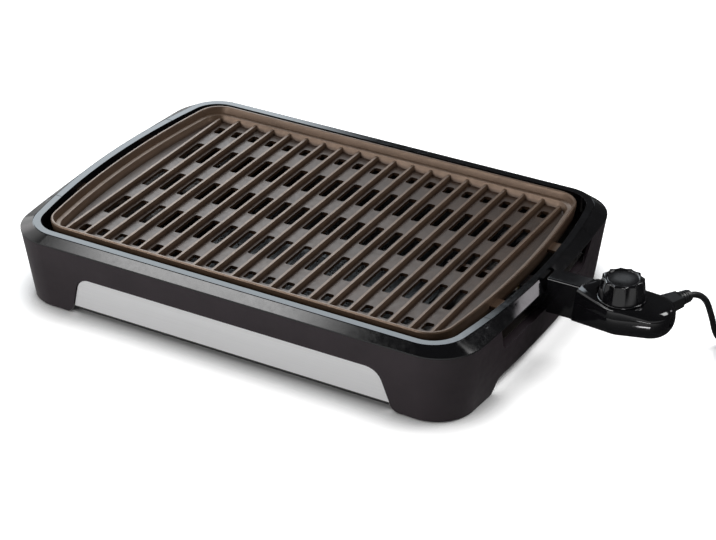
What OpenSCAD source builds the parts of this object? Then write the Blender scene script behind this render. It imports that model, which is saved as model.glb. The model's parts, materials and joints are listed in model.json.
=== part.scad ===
// Open countertop electric grill: a removable ribbed cooking plate with a handle at each end,
// a moulded base with a drip tray behind a brushed front panel, and a plug-in thermostat probe.
// Millimetres, +Z up. The origin is on the tabletop, midway between the four rubber feet.
// The front is -Y and the probe plugs in from +X.

/* [Cooking plate] */
// Length of the plate over its rim, at the middle of its bowed ends
plate_l = 466; // [390:2:560]
// Depth of the plate over its rim, front to back
plate_w = 312; // [260:2:375]
// Radius of the rim's corners
plate_corner = 26.5; // [20:0.5:34]
// How far each end of the rim bows out
plate_bow = 13; // [6:0.5:18]
// Height of the rim above the table
rim_z = 86; // [80:0.5:104]
// Depth from the rim to the floor of the plate
pan_depth = 14; // [12:0.5:17]
// Thickness of the plate's floor
floor_t = 3.5; // [3:0.1:4.5]
// Distance from one rib to the next
rib_pitch = 21.4; // [18:0.2:26]
// Height of a rib above the floor
rib_h = 5; // [3:0.2:6.5]
// Width of a rib at its top
rib_top = 2.6; // [2:0.1:4]
// Width of a rib at its foot
rib_foot = 5.2; // [4:0.1:7]
// Width of a drip slot
slot_w = 9; // [6:0.2:11]
// Length of the slots in the three middle rows
long_slot = 40; // [30:1:48]
// Length of the slots in the front and back rows
short_slot = 14; // [8:0.5:17]

/* [Frame around the plate] */
// Gap between rim and frame along the front and back
side_gap = 7.2; // [5:0.1:9]
// Gap between rim and frame at the middle of each end
end_gap = 12; // [9:0.5:15]
// Width of the frame's flat top
ring_w = 7.2; // [6:0.1:10]
// Width of the sloping shoulder outside the flat top
shoulder_w = 8.5; // [7:0.1:11]
// Height of the sloping shoulder
shoulder_h = 7.5; // [6:0.1:9]
// Length of each handle, seam to seam
handle_l = 200; // [160:2:220]

/* [Base] */
// How far the body draws in from its shoulder to the table, on each side
draft_in = 9.4; // [6:0.2:12]
// Wall thickness of the mouldings
wall = 3; // [2.4:0.1:3.6]
// Height of the arches between the feet
arch_h = 15; // [10:0.5:18]
// Height of the sill of the hand recesses
recess_z = 47; // [44:0.5:52]
// Thickness of the bottom cover
cover_t = 3; // [2.4:0.1:3.6]
// Diameter of a rubber foot
foot_d = 20; // [16:0.5:24]

/* [Drip tray] */
// Width of the front panel at its lower edge
panel_w = 356; // [300:2:370]
// Height of the front panel
panel_h = 36; // [30:0.5:37]
// Corner radius at the panel's upper corners
panel_r = 16; // [6:0.5:18]
// Width of the tray's rim
tray_w = 326; // [260:2:330]
// Length of the tray, front to back
tray_l = 308; // [260:2:310]
// Depth of the tray
tray_h = 29; // [20:0.5:29]

/* [Probe] */
// Diameter of the dial at its foot
dial_d = 45; // [38:0.5:50]
// Height of the dial
dial_h = 19; // [15:0.5:22]
// Grips around the dial
dial_grips = 12; // [8:1:16]
// Width of the probe where it meets the handle
block_w = 22; // [20:0.5:28]
// Diameter of the sensing rod
rod_d = 6; // [5:0.1:7]
// Diameter of the terminal pins
pin_d = 4; // [3:0.1:4.5]

/* [Cord] */
// Diameter of the cord
cord_d = 6.2; // [5:0.1:7]
// Diameter of the coil at the middle of its turns
coil_d = 68; // [62:1:74]

/* [Hidden] */

$fn = 48;
arc_n = 14;         // segments in a corner of an outline
end_n = 12;         // segments along a bowed end
fillet_n = 5;       // segments in a small rounded corner
eps = 0.02;         // overlap that joins two pieces of one solid
run = 0.05;         // radial clearance of a shaft or screw in its hole
part_gap = 0.4;     // clearance between pieces that come apart

// ---- outlines: [end x, half depth, corner radius, end radius] ----
function outline(x, b, r, bow) = [x, b, r, (b * b + bow * bow) / (2 * bow)];
function inset(o, d) = [o[0] - d, o[1] - d, o[2] - d, o[3] - d];
function mix(o, p, t) = o * (1 - t) + p * t;
function tangent_a(o) = asin((o[1] - o[2]) / (o[3] - o[2]));
function corner_x(o) = o[0] - o[3] + (o[3] - o[2]) * cos(tangent_a(o));
function end_x(o, y) = o[0] - o[3] + sqrt(o[3] * o[3] - y * y);
function right_half(o) = let (a = tangent_a(o), cx = corner_x(o), cy = o[1] - o[2]) concat(
  [for (i = [0:arc_n]) let (t = -90 + (90 - a) * i / arc_n) [cx + o[2] * cos(t), o[2] * sin(t) - cy]],
  [for (i = [1:end_n - 1]) let (t = a * (2 * i / end_n - 1)) [o[0] - o[3] + o[3] * cos(t), o[3] * sin(t)]],
  [for (i = [0:arc_n]) let (t = a + (90 - a) * i / arc_n) [cx + o[2] * cos(t), o[2] * sin(t) + cy]]);
function loop_points(o) = let (h = right_half(o), n = len(h))
  concat(h, [for (i = [0:n - 1]) [-h[n - 1 - i][0], h[n - 1 - i][1]]]);

plate_end = plate_l / 2;
rim = outline(plate_end, plate_w / 2, plate_corner, plate_bow);
ring_out = outline(plate_end + end_gap + ring_w, plate_w / 2 + side_gap + ring_w,
                   plate_corner + 10.5, plate_bow + 6.5);
ring_in = inset(ring_out, ring_w);
shoulder = outline(ring_out[0] + shoulder_w - 0.3, ring_out[1] + shoulder_w, plate_corner + 20.5, 9.6);
foot_line = outline(shoulder[0] - draft_in, shoulder[1] - draft_in, plate_corner + 13.5, 9);

// ---- heights ----
ring_z = rim_z - 2.5;
shoulder_z = ring_z - shoulder_h;
lip_h = 1.6;                           // upright edge under the shoulder
body_top = shoulder_z - lip_h - 0.3;
skirt_z = 1.2;                         // the skirt stops just short of the table
floor_z = rim_z - pan_depth;
under_z = floor_z - floor_t;
deck_t = 2.8;
deck_z = recess_z - 0.2;
deck_top = deck_z + deck_t;
shield_t = 0.8;
shield_top = deck_top + shield_t;
cover_z = 6;
cover_top = cover_z + cover_t;
function body_at(z) = mix(foot_line, shoulder, z / shoulder_z);

// ---- pattern of ribs, slots and element lanes ----
floor_inset = 12.5;
end_panel = 29;                        // plain strip at each end of the plate
rib_side = floor((plate_end - end_panel) / rib_pitch - 0.5);   // ribs each side, less one
groove_side = rib_side;                // slotted grooves each side of the middle one
short_y = plate_w / 2 - floor_inset - 19.8;
lane = (2 * short_y - short_slot - 3 * long_slot) / 4;         // clear strip between rows
long_y = long_slot + lane;
lane_in = long_slot / 2 + lane / 2;
lane_out = 1.5 * (long_slot + lane);

// ---- terminals and sensing rod ----
element_r = 3.5;
element_z = under_z - element_r - 0.2;
pin_y = 6.5;
rod_z = element_z - 7.8;
boss_r = rod_d / 2 + 3;
run_x = plate_end - 32.5;              // where the element crosses the right end
apex_x = 6.5 * rib_pitch;              // the element's inner turn lies under a rib
boss_x0 = apex_x + 11;
boss_x1 = plate_end - 16;
bracket_x = plate_end - 11;
bracket_t = 2;
bush_r = 3.4;
lug_y = 62;
lug_t = 3.5;
lug_top = ring_z - 6.5;
lug_x = ring_out[0] - 4.4;
screw_r = 1.95;
post_x = plate_end - 33;
post_y = plate_w / 2 - 38;
post_r = 7;

// ---- probe ----
neck_x0 = plate_end - 1.4;
neck_top = under_z + 1.8;
block_x0 = shoulder[0] - 0.5;
block_z0 = recess_z + 0.6;
block_top = rim_z;
seam_x = shoulder[0] + 26.2;           // seam of block and housing, at the block's foot
seam_lean = 0.26;
dial_x = shoulder[0] + 71.5;
dial_seat = rim_z - 5.8;
tail_c = [dial_x + 26, 6.5];           // middle of the housing's round end
tail_r = 24.5;
nose_r = 26;
part_z = rim_z - 16;                   // parting plane of the two shells, on the cord's axis
shell_t = 2.2;
cord_turn = 64;                        // the cord leaves this many degrees left of +X
cord_u = [cos(cord_turn), sin(cord_turn)];
relief_l = 24.7;
sleeve_r = pin_d / 2 + 1;

// ---- cord: the points of its route, then the coil that it is wound into ----
route = [
  [379.7, 51.4, 70], [383.1, 57.2, 68.8], [386.8, 62.6, 65.6], [390, 67.4, 60.4], [392, 70.4, 55],
  [394, 73.5, 44], [396, 76.3, 34], [398, 79.5, 22], [400, 82.6, 14], [403.2, 87.6, 8.2],
  [407, 93.6, 4.6], [411.5, 100.4, 3.2]];
coil_c = [448, 88.5];
coil_h = 18.1;
tie_turn = -100;
tail_route = [
  [432, 118.4, 16.8], [440, 121.6, 18.4], [448, 122.5, 20.4], [456, 121.3, 22.4], [464, 117.6, 24.2], [471, 112, 25]];
plug_at = [471, 112, 25];
plug_turn = -53;

// ---- small helpers ----
function unit(v) = v / norm(v);
function fillet(a, b, c, r) = r <= 0 ? [b] :
  let (u = unit(a - b), v = unit(c - b), h = acos(u * v) / 2, o = b + unit(u + v) * r / sin(h),
       s = b + u * r / tan(h) - o, e = b + v * r / tan(h) - o,
       a0 = atan2(s[1], s[0]), d = atan2(e[1], e[0]) - a0, turn = d > 180 ? d - 360 : d < -180 ? d + 360 : d)
  [for (i = [0:fillet_n]) o + r * [cos(a0 + turn * i / fillet_n), sin(a0 + turn * i / fillet_n)]];
function rounded(p, r) = let (n = len(p))
  [for (i = [0:n - 1]) each fillet(p[(i + n - 1) % n], p[i], p[(i + 1) % n], r[i])];

// A closed skin between rings of points, with a flat cap at each end or joined round on itself.
module skin(rings, closed) {
  n = len(rings[0]);
  m = len(rings);
  sides = [for (k = [0:(closed ? m - 1 : m - 2)], i = [0:n - 1])
    let (a = k * n + i, b = k * n + (i + 1) % n, c = ((k + 1) % m) * n + (i + 1) % n, d = ((k + 1) % m) * n + i)
    each [[a, d, c], [a, c, b]]];
  caps = closed ? [] : [[for (i = [0:n - 1]) i], [for (i = [0:n - 1]) m * n - 1 - i]];
  polyhedron([for (r = rings) each r], concat(sides, caps));
}
function ring_at(o, z) = [for (p = loop_points(o)) [p[0], p[1], z]];
module loft(levels) { skin([for (l = levels) ring_at(l[0], l[1])], false); }
module band(levels) { skin([for (l = levels) ring_at(l[0], l[1])], true); }
module along_y(y0, y1) { translate([0, y1, 0]) rotate([90, 0, 0]) linear_extrude(y1 - y0) children(); }
module along_x(x0, x1) { translate([x0, 0, 0]) rotate([90, 0, 90]) linear_extrude(x1 - x0) children(); }
module rod_x(x0, x1, y, z, r) { translate([x0, y, z]) rotate([0, 90, 0]) cylinder(h = x1 - x0, r = r); }
module mirrored_x() { children(); mirror([1, 0, 0]) children(); }
module mirrored_y() { children(); mirror([0, 1, 0]) children(); }
module corners(x, y) { for (i = [-1, 1], j = [-1, 1]) translate([i * x, j * y, 0]) children(); }

// A round tube through route points. ref is a direction that the route never runs along.
module tube(points, r, sides, ref) {
  last = len(points) - 1;
  rings = [for (i = [0:last])
    let (t = unit(points[min(i + 1, last)] - points[max(i - 1, 0)]), u = unit(cross(ref, t)), v = cross(t, u))
    [for (k = [0:sides - 1]) points[i] + r * (cos(360 * k / sides) * u + sin(360 * k / sides) * v)]];
  skin(rings, false);
}

// ================= base =================
cover_boss = [[plate_end - 44, plate_w / 2 - 40], [plate_end - 44, 0]];
rear_boss_x = 90;
boss_floor_r = 4.5;
column_r = 4;
bezel_pin_r = 2.2;
column_y = ring_out[1] - 0.2;
column_end_y = handle_l / 2 + 12;
column_end_x = end_x(ring_out, column_end_y) + 2.4;
foot_at = [foot_line[0] - 43, foot_line[1] - 36];
bay_x = tray_w / 2 - 5;
bay_front = plate_w / 2 - 6;
bay_rear = plate_w / 2 - 10;

module at_cover_bosses() {
  corners(cover_boss[0][0], cover_boss[0][1]) children();
  mirrored_x() translate([cover_boss[1][0], 0, 0]) children();
  mirrored_x() translate([rear_boss_x, bay_rear + 12, 0]) children();
}
module at_columns() {
  corners(150, column_y) children();
  corners(50, column_y) children();
  corners(column_end_x, column_end_y) children();
}

// Cut-out between two feet: w is half its width where the feet stand, lean its sides' run inwards.
function gap_outline(w, lean_in, top, r_top) = let (z0 = skirt_z - 0.1, out = w + 3 * foot_round, t = w - lean_in)
  rounded([[-out, -5], [out, -5], [out, z0], [w, z0], [t, top], [-t, top], [-w, z0], [-out, z0]],
          [0, 0, 0, foot_round, r_top, r_top, foot_round, 0]);
foot_round = 9;                        // radius where a foot meets a cut-out
panel_z = 9.5;
panel_gap = 0.8;
panel_lean = panel_h * 0.3;
function panel_outline() = let (w = panel_w / 2, t = w - panel_lean)
  rounded([[-w, 0], [w, 0], [t, panel_h], [-t, panel_h]], [0, 0, panel_r, panel_r]);
front_w = panel_w / 2 + panel_gap + (panel_z - skirt_z) * 0.3;
front_top = panel_z + panel_h + panel_gap;

// Hand recess, seen from the end: open at the top, with rounded lower corners.
recess_top = handle_l / 2 + 1;
function recess_outline() = rounded(
  [[-recess_top, body_top + 1], [-recess_top + 12, recess_z], [recess_top - 12, recess_z], [recess_top, body_top + 1]],
  [0, 10, 10, 0]);

module base_housing() {
  color("#2e2a2d") difference() {
    union() {
      difference() {
        loft([[body_at(skirt_z), skirt_z], [body_at(body_top), body_top]]);
        loft([[inset(body_at(skirt_z - 1), wall), skirt_z - 1], [inset(body_at(body_top + 1), wall), body_top + 1]]);
      }
      difference() {
        loft([[inset(body_at(deck_z), wall / 2), deck_z], [inset(body_at(deck_top), wall / 2), deck_top]]);
        translate([-bay_x, -bay_front, deck_z - 1]) cube([2 * bay_x, bay_front + bay_rear, deck_t + 2]);
      }
      at_cover_bosses() translate([0, 0, cover_top]) cylinder(h = deck_z + eps - cover_top, r = boss_floor_r);
      at_columns() translate([0, 0, deck_top - eps]) cylinder(h = 20, r = column_r);
      corners(post_x, post_y) translate([0, 0, deck_top - eps])
        cylinder(h = under_z - 4.8 - part_gap - deck_top, r = post_r);
    }
    along_y(-shoulder[1] - 5, -bay_front - 2)
      polygon(gap_outline(front_w, (front_top - skirt_z) * 0.3, front_top, panel_r + panel_gap));
    mirrored_x() along_x(plate_end - 20, shoulder[0] + 5) polygon(recess_outline());
    mirrored_x() along_x(plate_end - 20, shoulder[0] + 5) polygon(gap_outline(foot_line[1] - 71, 9, arch_h, 7));
    along_y(bay_rear + 6, shoulder[1] + 5) polygon(gap_outline(foot_line[0] - 64, 9, arch_h, 7));
    at_cover_bosses() translate([0, 0, cover_top - 1]) cylinder(h = 18, r = 1.75 + run);
    at_columns() translate([0, 0, deck_top + 2]) cylinder(h = 30, r = bezel_pin_r + run);
    shield_holes(deck_z - 1, 1.5 + run);
  }
}

module base_cover() {
  runner_x = tray_w / 2 - 12;
  color("#242124") difference() {
    union() {
      translate([0, 0, cover_z]) linear_extrude(cover_t) union() {
        polygon(loop_points(inset(foot_line, 10)));
        translate([-panel_w / 2 + 2, -foot_line[1] + 1.6]) square([panel_w - 4, 32]);
      }
      mirrored_x() translate([runner_x, -bay_front, cover_top - eps]) cube([6, tray_l - 20, 1.6]);
      mirrored_x() translate([tray_w / 2 + part_gap, -bay_front, cover_top - eps]) cube([2.4, tray_l - 20, 12]);
    }
    at_cover_bosses() translate([0, 0, cover_z - 1]) cylinder(h = cover_t + 2, r = 2.1);
    corners(foot_at[0], foot_at[1]) translate([0, 0, cover_z - 1]) cylinder(h = cover_t + 2, r = 3 + run);
  }
}

module cover_screws() {
  color("#9a9a9a") at_cover_bosses() {
    translate([0, 0, cover_z - 2.2]) cylinder(h = 2.2, r = 3.6);
    translate([0, 0, cover_z - eps]) cylinder(h = 18, r = 1.75);
  }
}

module rubber_feet() {
  color("#161616") corners(foot_at[0], foot_at[1]) rotate_extrude() polygon([
    [0, 0], [foot_d / 2 - 1, 0], [foot_d / 2, 1], [foot_d / 2, cover_z - 1], [foot_d / 2 - 1, cover_z],
    [3, cover_z], [3, cover_top], [4, cover_top + 0.2], [3, cover_top + 2.6], [0, cover_top + 2.6]]);
}

// ================= frame: bezels and handles share one section =================
skin_t = 2.5;
groove = 0.9;                          // fine groove between the flat top and the shoulder
module frame_band(skirt_z0) {
  band([
    [shoulder, shoulder_z - lip_h], [shoulder, shoulder_z], [inset(ring_out, -groove), ring_z - 0.3],
    [inset(ring_out, -groove), ring_z - groove], [ring_out, ring_z - groove], [ring_out, ring_z], [ring_in, ring_z],
    [ring_in, skirt_z0], [inset(ring_in, -skin_t), skirt_z0], [inset(ring_in, -skin_t), ring_z - skin_t],
    [inset(ring_out, 1.4), ring_z - skin_t], [inset(shoulder, skin_t), shoulder_z - 0.6],
    [inset(shoulder, skin_t), shoulder_z - lip_h]]);
}
bezel_skirt = floor_z - 6;
far = shoulder[0] + 50;
module bezel_pins() {
  translate([0, 0, deck_top + 6]) cylinder(h = ring_z - skin_t + 0.5 - deck_top - 6, r = bezel_pin_r);
}
module bezel() {
  intersection() {
    frame_band(bezel_skirt);
    translate([-far, -far, 0]) cube([2 * far, far - handle_l / 2 - part_gap, 2 * rim_z]);
  }
  for (x = [-150, -50, 50, 150]) translate([x, -column_y, 0]) bezel_pins();
  for (x = [-1, 1]) translate([x * column_end_x, -column_end_y, 0]) bezel_pins();
}
module bezel_front() { color("#17181b") bezel(); }
module bezel_rear() { color("#17181b") mirror([0, 1, 0]) bezel(); }

// ================= heat shield =================
module shield_holes(z, r) {
  corners(bay_x + 9, post_y + 8) translate([0, 0, z]) cylinder(h = 8, r = r);
}
module heat_shield() {
  lip_z = deck_z - 3;
  color("#b9babc") difference() {
    union() {
      translate([0, 0, deck_top]) linear_extrude(shield_t) polygon(loop_points(inset(body_at(deck_top), wall + 4.5)));
      translate([-bay_x + 0.3, -bay_front + 0.3, lip_z])
        cube([2 * bay_x - 0.6, bay_front + bay_rear - 0.6, shield_top - lip_z]);
    }
    translate([-bay_x + 1.1, -bay_front + 1.1, lip_z - 1])
      cube([2 * bay_x - 2.2, bay_front + bay_rear - 2.2, 20]);
    corners(post_x, post_y) translate([0, 0, deck_top - 1]) cylinder(h = 4, r = post_r + 0.6);
    at_columns() translate([0, 0, deck_top - 1]) cylinder(h = 4, r = column_r + 0.6);
    shield_holes(deck_top - 2, 1.5 + run);
  }
}
module shield_rivets() {
  color("#a8a8aa") corners(bay_x + 9, post_y + 8) {
    translate([0, 0, deck_z - 1.2]) cylinder(h = 1.2, r = 2.6);
    translate([0, 0, deck_z - eps]) cylinder(h = shield_top - deck_z + 2 * eps, r = 1.5);
    translate([0, 0, shield_top]) cylinder(h = 1.2, r = 2.8);
  }
}

// ================= cooking plate =================
module rib(x, half) {
  along_y(-half, half) polygon([
    [x - rib_foot / 2, floor_z - eps], [x + rib_foot / 2, floor_z - eps],
    [x + rib_top / 2, floor_z + rib_h], [x - rib_top / 2, floor_z + rib_h]]);
}
module slot(x, y, l) {
  c = 1.6;
  translate([x, y, 0]) linear_extrude(floor_z + 1) polygon([
    [-slot_w / 2 + c, -l / 2], [slot_w / 2 - c, -l / 2], [slot_w / 2, -l / 2 + c], [slot_w / 2, l / 2 - c],
    [slot_w / 2 - c, l / 2], [-slot_w / 2 + c, l / 2], [-slot_w / 2, l / 2 - c], [-slot_w / 2, -l / 2 + c]]);
}
wall_in = 2.6;                         // draft of the plate's outer wall
module grill_plate() {
  rib_half = plate_w / 2 - 9.5;
  step_z = floor_z + 6.6;
  color("#3a2a20") difference() {
    union() {
      difference() {
        loft([
          [inset(rim, wall_in), under_z], [inset(rim, 0.2), rim_z - 4], [rim, rim_z - 1.3],
          [inset(rim, 0.8), rim_z], [inset(rim, 2.4), rim_z], [inset(rim, 3.4), rim_z - 1.4],
          [inset(rim, 5), step_z + 0.6], [inset(rim, 9), step_z], [inset(rim, floor_inset), floor_z]]);
        for (i = [-groove_side:groove_side]) {
          for (y = [-long_y, 0, long_y]) slot(i * rib_pitch, y, long_slot);
          for (y = [-short_y, short_y]) slot(i * rib_pitch, y, short_slot);
        }
      }
      for (i = [0:rib_side]) mirrored_x() rib((i + 0.5) * rib_pitch, i == rib_side ? rib_half - 6 : rib_half);
      corners(post_x, post_y) translate([0, 0, under_z - 4.8]) cylinder(h = 4.8 + eps, r = 5);
      mirrored_x() for (y = [-lug_y, lug_y]) translate([plate_end - 7, y - 8, lug_top - lug_t])
        cube([lug_x + 5 - plate_end + 7, 16, lug_t]);
      rod_x(boss_x0, boss_x1, 0, rod_z, boss_r);
      translate([boss_x0, -2.5, rod_z]) cube([boss_x1 - boss_x0, 5, under_z + eps - rod_z]);
      for (i = [-3:1], y = [-lane_out, -lane_in, lane_in, lane_out]) element_lugs(i * 2 * rib_pitch, y);
    }
    rod_x(boss_x0 + 3, boss_x1 + 1, 0, rod_z, rod_d / 2 + 0.3);
    mirrored_x() for (y = [-lug_y, lug_y]) translate([lug_x, y, lug_top - lug_t - 1]) cylinder(h = lug_t + 2, r = 2.3);
    for (y = [-19, 19]) translate([bracket_x - 8, y, under_z - 1]) cylinder(h = 3.6, r = 1.75 + run);
  }
}
// Cast lugs that hold the element against the underside.
module element_lugs(x, y) {
  for (s = [-1, 1]) translate([x - 3, y + s * (element_r + 1.4) - 1.1, under_z - 5]) cube([6, 2.2, 5 + eps]);
}

module bend(c, r, a0, a1) {
  translate([c[0], c[1], element_z]) rotate([0, 0, a0]) rotate_extrude(angle = a1 - a0)
    translate([r, 0]) circle(r = element_r);
}
module element_half() {
  r_term = 13.5;
  r_corner = 20;
  r_left = (lane_out - lane_in) / 2;
  left_x = -(plate_end - 29) + r_left;
  rod_x(run_x + r_term, plate_end - 15, -pin_y, element_z, element_r);
  bend([run_x + r_term, -pin_y - r_term], r_term, 90, 180);
  translate([run_x, -lane_out + r_corner, element_z]) rotate([-90, 0, 0])
    cylinder(h = lane_out - r_corner - pin_y - r_term, r = element_r);
  bend([run_x - r_corner, -lane_out + r_corner], r_corner, -90, 0);
  rod_x(left_x, run_x - r_corner, -lane_out, element_z, element_r);
  bend([left_x, -(lane_out + lane_in) / 2], r_left, 90, 270);
  rod_x(left_x, apex_x - lane_in, -lane_in, element_z, element_r);
  bend([apex_x - lane_in, 0], lane_in, -90, 0);
}
module heating_element() { color("#4a4a4c") mirrored_y() element_half(); }

module terminal_pins() {
  color("#c8b26a") for (y = [-pin_y, pin_y]) {
    rod_x(plate_end - 15, plate_end + 16, y, element_z, pin_d / 2);
    translate([plate_end + 16, y, element_z]) sphere(r = pin_d / 2);
  }
}
module terminal_bushes() {
  color("#e9e4d8") for (y = [-pin_y, pin_y]) difference() {
    union() {
      rod_x(plate_end - 14.6, plate_end - 4.5, y, element_z, bush_r);
      translate([plate_end - 14.6, y - 5.2, element_z - 5]) cube([bracket_x - 0.1 - plate_end + 14.6, 10.4, 8.4]);
    }
    rod_x(plate_end - 16, plate_end, y, element_z, pin_d / 2 + run);
  }
}
module terminal_bracket() {
  color("#a9aaad") difference() {
    union() {
      translate([bracket_x, -24, rod_z - 6]) cube([bracket_t, 48, under_z - 0.1 - rod_z + 6]);
      for (s = [-1, 1]) translate([bracket_x - 15, s * 19 - 5, under_z - 2.1]) cube([15 + eps, 10, 2]);
    }
    for (y = [-pin_y, pin_y]) rod_x(bracket_x - 1, bracket_x + 4, y, element_z, bush_r + run);
    rod_x(bracket_x - 1, bracket_x + 4, 0, rod_z, rod_d / 2 + 0.6);
    for (y = [-19, 19]) translate([bracket_x - 8, y, under_z - 5]) cylinder(h = 8, r = 1.9);
  }
}
module bracket_screws() {
  color("#9a9a9a") for (y = [-19, 19]) translate([bracket_x - 8, y, 0]) {
    translate([0, 0, under_z - 4.3]) cylinder(h = 2.2, r = 3.2);
    translate([0, 0, under_z - 2.2]) cylinder(h = 4.4, r = 1.75);
  }
}

module handle() {
  boss_top = ring_z - 1.5;
  difference() {
    union() {
      intersection() {
        frame_band(neck_top + 0.8);
        translate([0, -handle_l / 2 + part_gap / 2, 0]) cube([far, handle_l - part_gap, 2 * rim_z]);
      }
      for (y = [-lug_y, lug_y]) translate([lug_x, y, lug_top]) cylinder(h = boss_top - lug_top, r = 4.6);
      for (y = [-84, -28, 28, 84]) translate([end_x(ring_in, y) + 1, y - 1, lug_top + 0.6])
        cube([ring_w - 2.6, 2, ring_z - skin_t + eps - lug_top - 0.6]);
    }
    for (y = [-lug_y, lug_y]) translate([plate_end, y - 8.5, neck_top])
      cube([lug_x + 8 - plate_end, 17, lug_top - neck_top]);
    for (y = [-lug_y, lug_y]) translate([lug_x, y, lug_top - 1]) cylinder(h = 5, r = screw_r + run);
  }
}
module handle_left() { color("#17181b") mirror([1, 0, 0]) handle(); }
// The right handle's shoulder is cut away where the probe passes.
module handle_right() {
  w = block_w / 2 + 1.8;
  x0 = ring_out[0] - 0.9;
  x1 = shoulder[0] + 4;
  color("#17181b") difference() {
    handle();
    translate([0, 0, lug_top - 10]) linear_extrude(30) polygon([[x0, -w], [x1, -w - 8.5], [x1, w + 8.5], [x0, w]]);
  }
}
module handle_screws() {
  color("#9a9a9a") for (i = [-1, 1], j = [-1, 1]) translate([i * lug_x, j * lug_y, 0]) {
    translate([0, 0, lug_top - lug_t - 2.6]) cylinder(h = 2.6, r = 3.8);
    translate([0, 0, lug_top - lug_t - eps]) cylinder(h = lug_t + 3.6, r = screw_r);
  }
}

// ================= drip tray =================
lean = atan(draft_in / shoulder_z);
panel_y = -foot_line[1] + 0.4;
tray_z = cover_top + 2;
tray_y0 = -foot_line[1] + 11.9;
tray_front_t = 5;
module leaning() { translate([0, panel_y, panel_z]) rotate([lean, 0, 0]) children(); }
module drip_tray() {
  r = 14;
  t = 1.2;
  w = tray_w / 2;
  function tray_loop(d) = rounded(
    [[-w + d, tray_y0 + d], [w - d, tray_y0 + d], [w - d, tray_y0 + tray_l - d], [-w + d, tray_y0 + tray_l - d]],
    [r - d, r - d, r - d, r - d]);
  color("#1d1d1f") difference() {
    union() {
      translate([0, 0, tray_z]) linear_extrude(tray_h) polygon(tray_loop(3));
      translate([0, 0, tray_z + tray_h - 1.4]) linear_extrude(1.4) polygon(tray_loop(0));
    }
    translate([0, 0, tray_z + t]) linear_extrude(tray_h) polygon(tray_loop(3 + t));
    at_tray_screws() rod_y(tray_y0 + 1, tray_y0 + 8, 1.9);
  }
}
module rod_y(y0, y1, r) { translate([0, y1, 0]) rotate([90, 0, 0]) cylinder(h = y1 - y0, r = r); }
module at_tray_screws() { for (x = [-120, -40, 40, 120]) translate([x, 0, tray_z + 14]) children(); }
module tray_front() {
  color("#1b1b1d") difference() {
    union() {
      leaning() along_y(1.2, 1.2 + tray_front_t) polygon(panel_outline());
      at_tray_screws() rod_y(panel_y + 2, tray_y0 + 3 - 0.05, 4);
    }
    at_tray_screws() rod_y(tray_y0 - 6, tray_y0 + 8, 1.5 + run);
  }
}
module front_panel() { color("#c9cacc") leaning() along_y(0, 1.15) polygon(panel_outline()); }
module tray_screws() {
  color("#9a9a9a") at_tray_screws() {
    rod_y(tray_y0 - 5, tray_y0 + 4.3, 1.5);
    rod_y(tray_y0 + 4.25, tray_y0 + 6.2, 3);
  }
}

// ================= probe =================
// Everything on the block's side of the slanting seam.
module seam_side(g) {
  along_y(-60, 60) polygon([
    [neck_x0 - 5, block_z0 - 10], [seam_x - 10 * seam_lean + g, block_z0 - 10],
    [seam_x + (rim_z + 10 - block_z0) * seam_lean + g, rim_z + 10], [neck_x0 - 5, rim_z + 10]]);
}
// The neck carries the contacts in under the plate; the block is moulded on to it.
module probe_neck() {
  neck_z0 = shield_top + 0.8;
  color("#121214") difference() {
    translate([neck_x0, -block_w / 2, neck_z0]) cube([block_x0 - neck_x0, block_w, neck_top - neck_z0]);
    for (y = [-pin_y, pin_y]) rod_x(neck_x0 - 1, block_x0 + 1, y, element_z, sleeve_r + run);
    rod_x(neck_x0 - 1, block_x0 + 1, 0, rod_z, rod_d / 2 + run);
  }
}
module probe_block() {
  color("#121214") difference() {
    intersection() {
      along_x(block_x0, seam_x + 14) polygon(rounded(
        [[-block_w / 2, block_z0], [block_w / 2, block_z0], [block_w / 2, block_top], [-block_w / 2, block_top]],
        [1.5, 1.5, 3.5, 3.5]));
      seam_side(0);
    }
    for (y = [-pin_y, pin_y]) {
      rod_x(block_x0 - 1, block_x0 + 12, y, element_z, sleeve_r + run);
      rod_x(block_x0 + 11, seam_x + 20, y, element_z, 1.2 + run);
    }
    rod_x(block_x0 - 1, seam_x + 20, 0, rod_z, rod_d / 2 + run);
  }
}
module disc(c, z0, z1, r) { translate([c[0], c[1], z0]) cylinder(h = z1 - z0, r = r, $fn = 60); }
// A round of radius r whose edge turns in by w over a height h, as a quarter of an ellipse.
module turned_in(c, z, h, r, w) {
  translate([c[0], c[1], z])
    rotate_extrude($fn = 60)
      polygon([[0, 0], for (k = [0:edge_n]) [r - w * (1 - cos(90 * k / edge_n)), h * sin(90 * k / edge_n)], [0, h]]);
}
edge_n = 5;
dial_c = [dial_x, 0];
shell_x = seam_x - 6;                  // the shells start behind the seam and are cut back to it
module at_probe_screws() {
  translate([dial_x - 19, 0, 0]) children();
  translate([dial_x + 26, -3, 0]) children();
}
// The housing is an egg in plan: a wide end under the dial and a smaller one where the cord leaves.
module lower_form(t) {
  z0 = block_z0 + t;
  band = 5;
  module belly(c, r, flat) {
    disc(c, part_z - band, part_z, r - t);
    turned_in(c, part_z - band, z0 - part_z + band, r - t, r - flat - t / 2);
  }
  hull() {
    translate([shell_x, -block_w / 2 + t, z0]) cube([12, block_w - 2 * t, part_z - z0]);
    belly(dial_c, nose_r, 12);
  }
  hull() {
    belly(dial_c, nose_r, 12);
    belly(tail_c, tail_r, 11);
  }
}
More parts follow.
